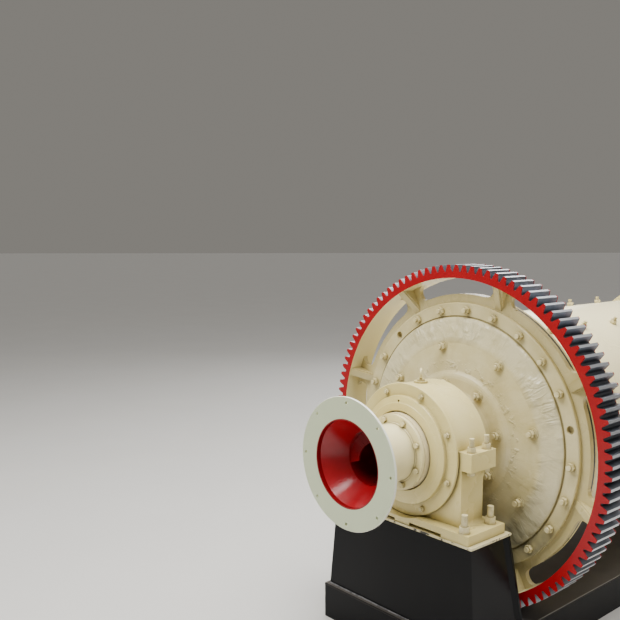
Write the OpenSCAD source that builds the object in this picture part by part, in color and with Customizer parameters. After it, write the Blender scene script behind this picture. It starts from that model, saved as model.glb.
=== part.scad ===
/* [Shell] */
// Inside diameter of the drum shell
shell_bore_d = 1200; // [1150:10:1230]
// Shell plate thickness
shell_t = 16; // [12:1:20]
// Shell length between the outer faces of its two flanges
shell_len = 2400; // [2200:40:2800]
// Width of the shell flanges outside the shell plate
shell_flange_w = 126; // [120:1:134]
// Shell flange thickness
shell_flange_t = 30; // [24:1:36]
// Rows of liner bolts round the shell
shell_bolt_rows = 10; // [8:2:12]
// Liner bolts in each row
shell_bolt_cols = 7; // [4:1:7]
// Distance of the first liner bolt from the feed edge of the shell
shell_bolt_first = 142; // [120:1:180]
// Distance of the last liner bolt from the discharge edge of the shell
shell_bolt_last = 178; // [120:1:200]
// Angle of the first liner bolt row above the horizontal
shell_bolt_turn = 62; // [0:1:90]

/* [Head] */
// Step from the edge of the shell flange in to the edge of the head flange
head_flange_step = 44; // [30:1:50]
// Head flange thickness
head_flange_t = 24; // [18:1:32]
// Distance of the head bolt circle from the edge of the shell flange
head_bolt_edge = 80; // [76:1:84]
// Holes in the head bolt circle, a multiple of three
head_bolt_count = 24; // [18:3:30]
// Angle of the first head bolt above the horizontal
head_bolt_turn = -2.5; // [-6:0.5:6]
// Head bolt radius
head_bolt_r = 12; // [10:1:12]
// Radius of the empty jacking holes
jack_hole_r = 20; // [15:1:22]
// Distance from the head bolt circle in to the groove round the dome
dome_gap = 31; // [27:1:32]
// Width of the groove round the dome
dome_groove = 8; // [6:1:12]
// Height of the dome above the flange face
dome_h = 44; // [30:1:60]
// Wall of the head casting
head_wall = 42; // [30:1:50]
// Radius of the raised hub step
hub_step_r = 346; // [330:1:360]
// Height of the raised hub step
hub_step_h = 16; // [10:1:20]
// Radius of the neck behind the bearing
neck_r = 212; // [205:1:225]
// Radius of the outer ring of head liner bolts
liner_ring_outer_r = 475; // [470:1:500]
// Radius of the inner ring of head liner bolts
liner_ring_inner_r = 284; // [274:1:290]
// Bolts in each head liner ring
liner_ring_count = 8; // [6:1:10]
// Angle of the first head liner bolt above the horizontal
liner_ring_turn = 12; // [0:1:44]
// Height of the outer liner bosses above the dome
liner_boss_up = 3; // [2:0.5:6]
// Radius of the flat boss under each head liner bolt
liner_boss_r = 30; // [26:1:34]

/* [Girth gear] */
// Number of teeth
gear_teeth = 110; // [108:1:112]
// Face width of the toothed rim
gear_face_w = 170; // [150:2:190]
// Offset of the toothed rim from the web towards the feed end
gear_shift = 15; // [0:1:20]
// Radial height of the windows between the inner ring and the toothed rim
gear_window_h = 86; // [80:1:92]
// Thickness of the rim under the tooth roots
gear_rim_t = 32; // [28:1:36]
// Thickness of the inner ring and web
gear_web_t = 28; // [24:1:36]
// Number of spokes
spoke_count = 8; // [6:1:12]
// Angle of the first spoke above the horizontal
spoke_turn = 28; // [0:1:44]
// Half width of a spoke at its waist
spoke_half_w = 58; // [50:1:76]
// Corner radius of the windows between the spokes
spoke_fillet_r = 36; // [28:1:39]
// Thickness of the rib on each spoke
spoke_rib_t = 36; // [24:1:44]
// Extra thickness at the root of each rib
spoke_rib_fillet = 14; // [8:1:18]

/* [Trunnion] */
// Journal radius
journal_r = 185; // [178:1:187]
// Bore radius of the trunnion
journal_bore_r = 142; // [138:1:150]
// Radius of the collar at the open end of the trunnion
collar_r = 189; // [188:0.5:190]
// Length of the trunnion that stands out of the bearing barrel
journal_out = 71; // [66:1:78]

/* [Spout] */
// Spout mounting flange radius
spout_foot_r = 185; // [182:1:187]
// Spout mounting flange thickness
spout_foot_t = 18; // [14:1:22]
// Spout mounting bolt circle radius
spout_foot_bolt_r = 163; // [162:1:164]
// Spout tube outside radius
spout_tube_r = 142; // [138:1:143]
// Wall of the spout tube and cone
spout_wall = 7; // [6:1:9]
// Wall of the red liner
liner_wall = 5; // [4:1:8]
// Radius of the open mouth
mouth_r = 205; // [190:1:215]
// Depth of the straight lip of the mouth
mouth_lip = 24; // [16:1:30]
// Outer flange radius
spout_flange_r = 314; // [300:1:325]
// Outer flange thickness
spout_flange_t = 12; // [8:1:16]
// Radius of the outer flange hole circle
spout_hole_circle_r = 286; // [270:1:290]
// Radius of the outer flange holes
spout_hole_r = 8; // [6:0.5:10]
// Length of the spout from the trunnion end to its outer flange face
spout_len = 333; // [320:1:360]
// Length of the cone inside the spout
cone_len = 116; // [110:1:140]
// Width of the spiral feed vane
vane_w = 62; // [40:1:70]
// Lead of the spiral feed vane
vane_lead = 168; // [150:1:180]
// Thickness of the spiral feed vane
vane_t = 8; // [6:1:10]
// Angle at which the spiral feed vane starts
vane_turn = 200; // [0:1:359]

/* [Bearing] */
// Distance from the head flange face to the bearing centre
neck_len = 300; // [296:1:330]
// Length of the bearing barrel
barrel_len = 232; // [226:2:236]
// Barrel radius
barrel_r = 320; // [314:1:324]
// Thickness of the bronze bush
bush_t = 40; // [30:1:44]
// Length of the bronze bush
bush_len = 160; // [140:2:170]
// Radial running clearance of the journal in its bush
bush_clear = 0.1; // [0.05:0.01:0.1]
// End cover radius
cover_r = 329; // [326:1:332]
// End cover rim thickness
cover_rim_t = 12; // [10:1:16]
// Radius of the raised middle of the end cover
cover_step_r = 268; // [258:1:272]
// Height of the raised middle of the end cover
cover_step_h = 20; // [12:1:22]
// Height of the sloped face inside the raised middle of the end cover
cover_slope_h = 14; // [6:1:16]
// Running gap between the trunnion collar and the end covers
collar_gap = 5.5; // [5:0.5:7]
// End cover bolt circle radius
cover_bolt_circle_r = 297; // [294:1:300]
// Angle of the first end cover bolt above the horizontal
cover_bolt_turn = 24; // [0:0.5:44]
// Rear ring radius
rear_ring_r = 300; // [290:1:308]
// Rear ring thickness
rear_ring_t = 14; // [10:1:18]
// Half width of the bearing pillar
pillar_half_w = 340; // [334:1:345]
// Depth of the bearing pillar
pillar_d = 162; // [150:2:170]
// Half width over the cap lugs
lug_half_w = 397; // [390:1:402]
// Depth of the cap lugs
lug_d = 181; // [176:1:184]
// Set back of pillar and lugs behind the front of the barrel
lug_back = 8; // [4:1:12]
// Thickness of each upper lug
lug_up_h = 48; // [40:1:54]
// Thickness of each lower lug
lug_low_h = 39; // [32:1:46]
// Cap stud radius
cap_stud_r = 12; // [10:1:14]
// Spacing of the two studs on a lug
cap_stud_gap = 110; // [100:1:116]
// Length of each cap stud above its lug
cap_stud_up = 66; // [56:1:72]
// Half width of the sole
sole_half_w = 435; // [428:1:442]
// Depth of the sole
sole_d = 272; // [264:2:278]
// Thickness of the sole
sole_t = 47; // [40:1:52]
// Height of the relief slots under the sole
sole_slot_h = 16; // [8:1:20]
// Distance of the outer slot ends from the mill axis
sole_slot_out = 272; // [240:1:290]
// Distance of the inner end of the right slot from the mill axis
sole_slot_right = 72; // [50:1:90]
// Distance of the inner end of the left slot from the mill axis
sole_slot_left = 25; // [15:1:50]
// Relief of the sole round the end cover
sole_relief = 2; // [1:0.5:4]
// Depth from the mill axis to the underside of the sole
sole_drop = 361; // [356:1:370]
// Distance of the outer hold-down bolts from the front edge of the sole
hold_bolt_front = 28; // [28:1:34]
// Distance of the inner hold-down bolts from the back edge of the sole
hold_bolt_back = 51; // [44:1:56]
// Hold-down bolt radius
hold_bolt_r = 15; // [12:1:16]
// Length of each hold-down bolt above the sole
hold_bolt_up = 86; // [76:1:92]
// Angle by which the feed lifting eye is turned
eye_turn = 42; // [0:1:90]

/* [Plinth] */
// Thickness of the seat plate on the plinth
seat_t = 11; // [8:1:14]
// Half width of the seat plate
seat_half_w = 459; // [455:1:470]
// Depth of the seat plate
seat_d = 300; // [296:2:310]
// Half width of the plinth at its top
plinth_top_half_w = 452; // [446:1:454]
// Half width of the plinth at its foot
plinth_foot_half_w = 490; // [480:1:500]
// Slope of the outer face of the plinth
plinth_front_lean = 16; // [8:1:20]
// Slope of the inner face of the plinth
plinth_back_lean = 76; // [60:1:80]
// Plinth plate thickness
plinth_plate = 14; // [10:1:16]
// Set back of the side plates behind the end plate edges
plinth_inset = 12; // [8:1:16]

/* [Base] */
// Clearance of the gear teeth above the ground
gear_ground_gap = 129; // [120:1:160]
// Half width of the base
base_half_w = 511; // [505:1:530]
// Length of the deck outside each plinth foot
deck_out = 20; // [16:1:50]
// Height of the base beams
beam_h = 180; // [160:2:180]
// Depth of the base beams
beam_w = 120; // [100:2:130]
// Plate thickness of the base beams
beam_t = 12; // [10:1:16]
// Deck plate thickness
deck_t = 10; // [8:1:12]
// Width of the cross beams
cross_w = 80; // [70:2:90]
// Clearance of the gear pit round the gear
pit_gap = 34; // [25:1:36]

/* [Hidden] */
$fn = 64;
shell_ir = shell_bore_d / 2;
shell_or = shell_ir + shell_t;
shell_flange_r = shell_or + shell_flange_w;
head_flange_r = shell_flange_r - head_flange_step;
head_bolt_circle_r = shell_flange_r - head_bolt_edge;
dome_edge_r = head_bolt_circle_r - dome_gap - dome_groove;
// The feed end carries the gear ring between head and shell flange
head_in = shell_len / 2 + gear_web_t / 2;
head_face = head_in + head_flange_t;
feed_flange_y = -head_in + gear_web_t;
shell_y0 = feed_flange_y;
shell_y1 = head_in;
head_hole_r = head_bolt_r + 1;
bolt_step = 360 / head_bolt_count;
shell_bolt_pitch = (shell_len - shell_bolt_first - shell_bolt_last) / (shell_bolt_cols - 0.5);
bolts_in_third = head_bolt_count / 3;
dome_top = head_face + dome_h;
// Height of the dome as a share of its rise, from the hub step out to the dome edge
dome_shape = [[0, 1], [0.3, 0.89], [0.56, 0.7], [0.78, 0.52], [0.93, 0.39]];
hub_face = dome_top + hub_step_h;
bearing_y = head_face + neck_len;
barrel_0 = bearing_y - barrel_len / 2;
barrel_1 = bearing_y + barrel_len / 2;
neck_end = barrel_0 - rear_ring_t - 12;
trunnion_end = barrel_1 + journal_out;
spout_end = trunnion_end + spout_len;
cover_bore_r = collar_r + collar_gap;
spigot_r = shell_ir - 0.5;
liner_share = (liner_ring_outer_r - hub_step_r) / (dome_edge_r - hub_step_r);
boss_out_y = head_face + dome_h * lookup(liner_share, dome_shape) + liner_boss_up;
boss_in_y = hub_face + 4;
// The rim sets the tooth module: 16 mm with 110 teeth
gear_rim_r = shell_flange_r + gear_window_h;
root_r = gear_rim_r + gear_rim_t;
gear_module = root_r / (gear_teeth / 2 - 1.25);
pitch_r = gear_module * gear_teeth / 2;
tip_r = pitch_r + gear_module;
gear_base_r = pitch_r * cos(20);
axis_z = tip_r + gear_ground_gap;
gear_y1 = feed_flange_y - gear_web_t / 2 + gear_face_w / 2 - gear_shift;
gear_y0 = gear_y1 - gear_face_w;
web_y0 = -head_in;
web_y1 = feed_flange_y;
foot_1 = trunnion_end + spout_foot_t;
flange_0 = spout_end - spout_flange_t;
lip_0 = spout_end - mouth_lip;
throat_1 = lip_0 - cone_len;
throat_r = spout_tube_r - spout_wall - liner_wall;
liner_0 = trunnion_end + 6;
collar_y = barrel_1 + cover_rim_t + cover_step_h + 4;
spout_bolts = 8;
lug_x = (pillar_half_w + lug_half_w) / 2;
eye_y = bearing_y + 16;
sole_z = axis_z - sole_drop;
sole_x = (pillar_half_w + sole_half_w) / 2 + 2;
seat_z = sole_z - seat_t;
deck_z = beam_h + deck_t;
seat_y = bearing_y + 24;
plinth_out = seat_y + seat_d / 2 - 6;
plinth_in = seat_y - seat_d / 2 + 2;
base_half_len = plinth_out + plinth_front_lean + deck_out;
sole_y = bearing_y + 32;
lug_y = barrel_1 - lug_back - lug_d / 2;
pillar_y = barrel_1 - lug_back - pillar_d / 2;
bush_r = journal_r + bush_clear;
bush_seat_r = bush_r + bush_t;
cover_0 = barrel_1;
cover_1 = cover_0 + cover_rim_t;
cover_2 = cover_1 + cover_step_h;
cover_3 = cover_2 + cover_slope_h;
pit_half_w = sqrt(tip_r * tip_r - pow(axis_z - beam_h, 2)) + pit_gap;
pit_y0 = gear_y0 - pit_gap;
pit_y1 = gear_y1 + pit_gap;
plinth_h = seat_z - deck_z;
// A length beyond the whole base, for shapes that only cut
beyond = 2 * base_half_len;
cream = [0.86, 0.82, 0.68];
red = [0.66, 0.07, 0.07];
black = [0.05, 0.05, 0.055];
steel = [0.55, 0.57, 0.60];
bronze = [0.72, 0.52, 0.25];

// The discharge end lies at +Y, and the feed end is its mirror image
module end_of(side) {
    if (side < 0) {
        mirror([0, 1, 0]) children();
    } else {
        children();
    }
}

// Puts a shape that stands on +Z onto the mill axis, pointing to +Y
module on_axis(y = 0) {
    translate([0, y, axis_z]) rotate([-90, 0, 0]) children();
}

// A disc or rod on the mill axis between two stations
module disc(r, y0, y1, fn = 128) {
    on_axis(y0) cylinder(r = r, h = y1 - y0, $fn = fn);
}

// A revolved profile of [radius, station] points on the mill axis
module turned(profile, fn = 128) {
    on_axis() rotate_extrude($fn = fn) polygon(profile);
}

// Places a child at a radius and an angle round the mill axis
module polar(a, r) {
    translate([0, 0, axis_z]) rotate([0, -a, 0]) translate([r, 0, 0]) children();
}

// A rod that points to +Y
module rod(r, y0, y1, fn = 24) {
    translate([0, y0, 0]) rotate([-90, 0, 0]) cylinder(r = r, h = y1 - y0, $fn = fn);
}

// A hexagon that points to +Y
module hex_y(af, y0, y1) {
    translate([0, y0, 0]) rotate([-90, 0, 0]) cylinder(r = af / sqrt(3), h = y1 - y0, $fn = 6);
}

// Every bolt position of the head flange except the three jacking holes
function is_jack(i) = (i - 1) % bolts_in_third == 0;

module base_end_beams() {
    color(black)
    for (s = [-1, 1]) end_of(s) difference() {
        translate([-base_half_w, base_half_len - beam_w, 0]) cube([2 * base_half_w, beam_w, beam_h]);
        translate([-base_half_w + beam_t, base_half_len - beam_w - 1, beam_t])
            cube([2 * (base_half_w - beam_t), beam_w - beam_t + 1, beam_h - 2 * beam_t]);
    }
}

module base_rail() {
    rail_len = 2 * (base_half_len - beam_w);
    translate([base_half_w - beam_w, -rail_len / 2, 0]) difference() {
        cube([beam_w, rail_len, beam_h]);
        translate([-1, -1, beam_t]) cube([beam_w - beam_t + 1, rail_len + 2, beam_h - 2 * beam_t]);
    }
}

module base_rails() {
    color(black) {
        base_rail();
        mirror([1, 0, 0]) base_rail();
    }
}

module base_cross_beams() {
    clear_x = base_half_w - beam_w;
    color(black)
    for (y = [pit_y0 - cross_w / 2 - 6, pit_y1 + cross_w / 2 + 6, 0,
            -pit_y1 - cross_w / 2, -pit_y0 + cross_w / 2])
        translate([-clear_x, y - cross_w / 2, 0]) difference() {
            cube([2 * clear_x, cross_w, beam_h]);
            translate([-1, beam_t, beam_t])
                cube([2 * clear_x + 2, cross_w - 2 * beam_t, beam_h - 2 * beam_t]);
        }
}

module base_deck() {
    color(black) difference() {
        translate([-base_half_w, -base_half_len, beam_h]) cube([2 * base_half_w, 2 * base_half_len, deck_t]);
        translate([-pit_half_w, pit_y0, beam_h - 1]) cube([2 * pit_half_w, pit_y1 - pit_y0, deck_t + 2]);
    }
}

// The tapered block between deck and seat plate, grown or shrunk by a margin
module plinth_block(side_in, out_in, in_in, lid) {
    top = seat_z - lid;
    k = (top - deck_z) / plinth_h;
    foot_w = plinth_foot_half_w - side_in;
    top_w = plinth_top_half_w - side_in;
    w_top = foot_w + (top_w - foot_w) * k;
    out_0 = plinth_out + plinth_front_lean - out_in;
    in_0 = plinth_in - plinth_back_lean + in_in;
    out_1 = out_0 - plinth_front_lean * k;
    in_1 = in_0 + plinth_back_lean * k;
    intersection() {
        translate([0, beyond, 0]) rotate([90, 0, 0]) linear_extrude(height = beyond)
            polygon([[-foot_w, deck_z], [foot_w, deck_z], [w_top, top], [-w_top, top]]);
        plinth_slice([[in_0, deck_z], [out_0, deck_z], [out_1, top], [in_1, top]]);
    }
}

// A section of the plinth along the mill, as [station, height] points, drawn right across the base
module plinth_slice(points) {
    translate([-base_half_w, 0, 0]) rotate([90, 0, 90]) linear_extrude(height = 2 * base_half_w) polygon(points);
}

module plinth(side) {
    p = plinth_plate;
    a = plinth_out + plinth_front_lean;
    b = plinth_in - plinth_back_lean;
    color(black) end_of(side) difference() {
        union() {
            plinth_block(plinth_inset, 2, 2, 0);
            intersection() {
                plinth_block(0, 0, 0, 0);
                plinth_slice([[a - p, deck_z], [a, deck_z], [plinth_out, seat_z], [plinth_out - p, seat_z]]);
            }
            intersection() {
                plinth_block(0, 0, 0, 0);
                plinth_slice([[b, deck_z], [b + p, deck_z], [plinth_in + p, seat_z], [plinth_in, seat_z]]);
            }
        }
        plinth_block(plinth_inset + p, p, p, p);
    }
}

module plinth_feed() {
    plinth(-1);
}

module plinth_discharge() {
    plinth(1);
}

module seat_plate(side) {
    color(cream) end_of(side) difference() {
        translate([-seat_half_w, seat_y - seat_d / 2, seat_z]) cube([2 * seat_half_w, seat_d, seat_t]);
        hold_bolt_spots() translate([0, 0, seat_z - 1]) cylinder(r = hold_bolt_r + 1, h = seat_t + 2, $fn = 32);
    }
}

module seat_plate_feed() {
    seat_plate(-1);
}

module seat_plate_discharge() {
    seat_plate(1);
}

module hold_bolt_spots() {
    y0 = sole_y - sole_d / 2 + hold_bolt_back;
    y1 = sole_y + sole_d / 2 - hold_bolt_front;
    for (x = [-sole_x, sole_x], y = [y0, y1])
        translate([x, y, 0]) children();
}

module cap_stud_spots() {
    for (x = [-lug_x, lug_x], y = [lug_y - cap_stud_gap / 2, lug_y + cap_stud_gap / 2])
        translate([x, y, 0]) children();
}

// The bore through the bearing: seat of the bush and the wider clearance at both ends
module bearing_bore() {
    disc(bush_seat_r, bearing_y - bush_len / 2, bearing_y + bush_len / 2);
    disc(journal_r + 22, barrel_0 - 1, barrel_1 + 1);
}

// The outside of the bearing barrel with its softened edges
module barrel() {
    c = 3;
    turned([[0, barrel_0], [barrel_r - c, barrel_0], [barrel_r, barrel_0 + c], [barrel_r, barrel_1 - c],
        [barrel_r - c, barrel_1], [0, barrel_1]]);
}

module housing(side) {
    pillar_z = axis_z - sole_drop + sole_t;
    f = 22;
    color(cream) end_of(side) difference() {
        union() {
            intersection() {
                barrel();
                translate([-beyond, 0, 0]) cube([2 * beyond, beyond, axis_z]);
            }
            translate([-pillar_half_w, pillar_y - pillar_d / 2, pillar_z])
                cube([2 * pillar_half_w, pillar_d, axis_z - pillar_z]);
            translate([-lug_half_w, lug_y - lug_d / 2, axis_z - lug_low_h])
                cube([2 * lug_half_w, lug_d, lug_low_h]);
            translate([-sole_half_w, sole_y - sole_d / 2, sole_z]) cube([2 * sole_half_w, sole_d, sole_t]);
            for (m = [0, 1]) mirror([m, 0, 0]) {
                translate([pillar_half_w, pillar_y + pillar_d / 2, pillar_z]) rotate([90, 0, 0])
                    linear_extrude(height = pillar_d) difference() {
                        square([f, f]);
                        translate([f, f]) circle(r = f, $fn = 64);
                    }
            }
        }
        bearing_bore();
        disc(cover_r + sole_relief, barrel_1, barrel_1 + sole_d);
        for (x = [[sole_slot_right, sole_slot_out], [-sole_slot_out, -sole_slot_left]])
            translate([x[0], sole_y - sole_d / 2 - 1, sole_z - 1])
                cube([x[1] - x[0], sole_d + 2, sole_slot_h + 1]);
        hold_bolt_spots() translate([0, 0, sole_z - 1]) cylinder(r = hold_bolt_r + 1, h = sole_t + 2, $fn = 32);
        cap_stud_spots() translate([0, 0, axis_z - lug_low_h - 1])
            cylinder(r = cap_stud_r + 1, h = lug_low_h + 2, $fn = 32);
    }
}

module housing_feed() {
    housing(-1);
}

module housing_discharge() {
    housing(1);
}

module cap(side) {
    color(cream) end_of(side) difference() {
        union() {
            intersection() {
                barrel();
                translate([-beyond, 0, axis_z]) cube([2 * beyond, beyond, 2 * barrel_r]);
            }
            translate([-lug_half_w, lug_y - lug_d / 2, axis_z]) cube([2 * lug_half_w, lug_d, lug_up_h]);
            translate([0, eye_y, axis_z + barrel_r - 12]) cylinder(r = 34, h = 20, $fn = 64);
        }
        bearing_bore();
        cap_stud_spots() translate([0, 0, axis_z - 1])
            cylinder(r = cap_stud_r + 1, h = lug_up_h + 2, $fn = 32);
    }
}

module cap_feed() {
    cap(-1);
}

module cap_discharge() {
    cap(1);
}

module bush(side) {
    color(bronze) end_of(side) difference() {
        disc(bush_seat_r, bearing_y - bush_len / 2, bearing_y + bush_len / 2);
        disc(bush_r, bearing_y - bush_len / 2 - 1, bearing_y + bush_len / 2 + 1);
    }
}

module bush_feed() {
    bush(-1);
}

module bush_discharge() {
    bush(1);
}

// Rim, rounded step and sloped middle of the end cover, with its small oil hole
module cover(side) {
    s = cover_step_r;
    color(cream) end_of(side) difference() {
        turned([[cover_bore_r, cover_0], [cover_r, cover_0], [cover_r, cover_1 - 3], [cover_r - 3, cover_1],
            [s + 5, cover_1], [s + 1, cover_1 + 1], [s, cover_1 + 5], [s - 1, cover_2 - 5], [s - 3, cover_2 - 1],
            [s - 7, cover_2], [cover_bore_r + 42, cover_2 + cover_slope_h * 0.45],
            [cover_bore_r + 38, cover_2 + cover_slope_h * 0.62], [cover_bore_r + 3, cover_3],
            [cover_bore_r, cover_3 - 2]]);
        polar(95, cover_bore_r + 48) rod(6, cover_1, cover_3 + 1);
    }
}

module cover_feed() {
    cover(-1);
}

module cover_discharge() {
    cover(1);
}

module rear_ring(side) {
    color(cream) end_of(side) difference() {
        disc(rear_ring_r, barrel_0 - rear_ring_t, barrel_0);
        disc(cover_bore_r, barrel_0 - rear_ring_t - 1, barrel_0 + 1);
    }
}

module rear_ring_feed() {
    rear_ring(-1);
}

module rear_ring_discharge() {
    rear_ring(1);
}

module cover_bolts(side) {
    color(cream) end_of(side) for (i = [0:7]) polar(cover_bolt_turn + 45 * i, cover_bolt_circle_r) {
        rod(15, cover_1, cover_1 + 3);
        hex_y(24, cover_1 + 3, cover_1 + 14);
        rod(8, cover_1 + 14, cover_1 + 19);
    }
}

module cover_bolts_feed() {
    cover_bolts(-1);
}

module cover_bolts_discharge() {
    cover_bolts(1);
}

module cap_studs(side) {
    top = axis_z + lug_up_h;
    low = axis_z - lug_low_h;
    color(cream) end_of(side) cap_stud_spots() {
        translate([0, 0, low - 26])
            cylinder(r = cap_stud_r, h = lug_up_h + lug_low_h + 26 + cap_stud_up, $fn = 32);
        translate([0, 0, top]) cylinder(r = 22, h = 4, $fn = 32);
        translate([0, 0, top + 4]) cylinder(r = 20.8, h = 22, $fn = 6);
        translate([0, 0, low - 20]) cylinder(r = 20.8, h = 20, $fn = 6);
    }
}

module cap_studs_feed() {
    cap_studs(-1);
}

module cap_studs_discharge() {
    cap_studs(1);
}

module hold_bolts(side) {
    top = sole_z + sole_t;
    color(cream) end_of(side) hold_bolt_spots() {
        translate([0, 0, seat_z])
            cylinder(r = hold_bolt_r, h = seat_t + sole_t + hold_bolt_up, $fn = 32);
        translate([0, 0, top]) cylinder(r = 1.8 * hold_bolt_r, h = 4, $fn = 32);
        translate([0, 0, top + 4]) cylinder(r = 1.77 * hold_bolt_r, h = 28, $fn = 6);
    }
}

module hold_bolts_feed() {
    hold_bolts(-1);
}

module hold_bolts_discharge() {
    hold_bolts(1);
}

module eye(side, turn) {
    seat = axis_z + barrel_r + 8;
    end_of(side) translate([0, eye_y, seat]) rotate([0, 0, turn]) {
        cylinder(r = 19, h = 8, $fn = 48);
        cylinder(r1 = 13, r2 = 9, h = 18, $fn = 48);
        translate([0, 0, 36]) rotate([0, 90, 0]) rotate_extrude($fn = 64)
            translate([21, 0]) circle(r = 7, $fn = 32);
    }
}

module eyes() {
    color(cream) {
        eye(-1, -eye_turn);
        eye(1, 20);
    }
}

module head_bolt_spots(jacks) {
    for (i = [0:head_bolt_count - 1])
        if (is_jack(i) == jacks) polar(head_bolt_turn + i * bolt_step, head_bolt_circle_r) children();
}

module shell() {
    color(cream) difference() {
        disc(shell_or, shell_y0, shell_y1);
        disc(shell_ir, shell_y0 - 1, shell_y1 + 1);
    }
}

module shell_flange(y) {
    difference() {
        disc(shell_flange_r, y, y + shell_flange_t);
        disc(shell_or, y - 1, y + shell_flange_t + 1);
        head_bolt_spots(false) rod(head_hole_r, y - 1, y + shell_flange_t + 1);
    }
}

module shell_flanges() {
    color(cream) {
        shell_flange(shell_y0);
        shell_flange(shell_y1 - shell_flange_t);
    }
}

module shell_bolts() {
    first = shell_y0 + shell_bolt_first;
    color(cream) for (i = [0:shell_bolt_rows - 1], j = [0:shell_bolt_cols - 1])
        translate([0, first + (i % 2 == 1 ? j : j + 0.5) * shell_bolt_pitch, axis_z])
            rotate([0, 90 - shell_bolt_turn - 360 / shell_bolt_rows * i, 0]) {
                translate([0, 0, shell_or]) cylinder(r = 20, h = 20, $fn = 6);
                translate([0, 0, shell_or]) cylinder(r = 10, h = 40, $fn = 16);
            }
}

module liner_bolt_spots(r) {
    for (i = [0:liner_ring_count - 1]) polar(liner_ring_turn + 360 / liner_ring_count * i, r) children();
}

// A point of the dome shape as [radius, station]
function dome_at(i) = [hub_step_r + (dome_edge_r - hub_step_r) * dome_shape[i][0],
    head_face + dome_h * dome_shape[i][1]];

// Section of the head: spigot, flange, groove, shouldered dome, rounded hub step and swept neck
function head_section(w) = [
    [journal_bore_r, neck_end], [journal_bore_r, head_in + 30],
    [journal_bore_r + 40, head_in + dome_h - w / 2], [dome_edge_r - 60, head_in - 8],
    [spigot_r - 30, head_in - 14], [spigot_r, head_in - 14], [spigot_r, head_in],
    [head_flange_r, head_in], [head_flange_r, head_face - 4], [head_flange_r - 4, head_face],
    [dome_edge_r + dome_groove, head_face], [dome_edge_r + dome_groove - 2, head_face - 3],
    [dome_edge_r + 1, head_face - 3], [dome_edge_r, head_face + 5], [dome_edge_r - 3, head_face + 10],
    [dome_edge_r - 9, head_face + 14], dome_at(4), dome_at(3), dome_at(2), dome_at(1),
    [hub_step_r + 10, dome_top],
    [hub_step_r + 2, dome_top + 1], [hub_step_r - 6, dome_top + 5], [hub_step_r - 15, dome_top + 10],
    [hub_step_r - 26, dome_top + 14], [hub_step_r - 38, hub_face], [neck_r + 46, hub_face],
    [neck_r + 33, hub_face + 3], [neck_r + 20, hub_face + 10], [neck_r + 10, hub_face + 20],
    [neck_r + 3, hub_face + 34], [neck_r, hub_face + 48], [neck_r, neck_end]];

module head(side) {
    color(cream) end_of(side) difference() {
        union() {
            turned(head_section(head_wall));
            liner_bolt_spots(liner_ring_outer_r) rod(liner_boss_r, head_face, boss_out_y, 48);
            liner_bolt_spots(liner_ring_inner_r) rod(liner_boss_r, head_face, boss_in_y, 48);
        }
        head_bolt_spots(false) rod(head_hole_r, head_in - 1, head_face + 1);
        head_bolt_spots(true) rod(jack_hole_r, head_in - 1, head_face + 1);
    }
}

module head_feed() {
    head(-1);
}

module head_discharge() {
    head(1);
}

module trunnion(side) {
    color(steel) end_of(side) difference() {
        union() {
            disc(journal_r, neck_end, trunnion_end);
            disc(collar_r, collar_y, trunnion_end);
        }
        disc(journal_bore_r, neck_end - 1, trunnion_end + 1);
    }
}

module trunnion_feed() {
    trunnion(-1);
}

module trunnion_discharge() {
    trunnion(1);
}

// Half angle of an involute tooth at a radius, in degrees
function involute(a) = tan(a) * 180 / PI - a;
function tooth_half(r) = 90 / gear_teeth + involute(20) - involute(acos(gear_base_r / r));
tooth_r = [root_r, root_r + 0.35 * (tip_r - root_r), root_r + 0.7 * (tip_r - root_r), tip_r];
gear_points = [for (i = [0:gear_teeth - 1], k = [-4, -3, -2, -1, 1, 2, 3, 4])
    let (r = tooth_r[k < 0 ? k + 4 : 4 - k])
    let (a = 360 / gear_teeth * (i + 0.5) + sign(k) * tooth_half(r))
    [r * cos(a), r * sin(a)]];

module gear_rim() {
    color(red) difference() {
        on_axis(gear_y0) linear_extrude(height = gear_face_w) polygon(gear_points);
        disc(gear_rim_r, gear_y0 - 1, gear_y1 + 1, 180);
    }
}

// Outline of one spoke from axis to rim side, flared into both rings by the window corner radius
f_r = spoke_fillet_r;
function flare(t) = spoke_half_w + f_r - sqrt(f_r * f_r - pow(f_r - t, 2));
in_edge = shell_flange_r;
spoke_side = concat(
    [[in_edge - 12, flare(0)]],
    [for (t = [0:6]) [in_edge - 3 + f_r * (1 - cos(15 * t)), flare(f_r * (1 - cos(15 * t)))]],
    [for (t = [6:-1:0]) [gear_rim_r - 7 - f_r * (1 - cos(15 * t)), flare(f_r * (1 - cos(15 * t)))]],
    [[gear_rim_r + 12, flare(0)]]);
spoke_back = [for (i = [len(spoke_side) - 1:-1:0]) [spoke_side[i][0], -spoke_side[i][1]]];
spoke_points = concat(spoke_side, spoke_back);

// The rib stands on the web and slopes on both sides out to the toothed rim, in front from the head flange
module spoke_rib(t, low) {
    r = gear_rim_r;
    translate([0, 0, -t / 2]) linear_extrude(height = t) polygon([
        [in_edge - 6, web_y0 + gear_web_t / 2], [head_flange_r + 4, web_y0 + low], [r - 26, gear_y0 + 24 + low],
        [r + 4, gear_y0 + 3 + low], [r + 4, gear_y1 - 6 - low], [r - 26, gear_y1 - 26 - low],
        [in_edge + 2, web_y1 - low]]);
}

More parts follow.
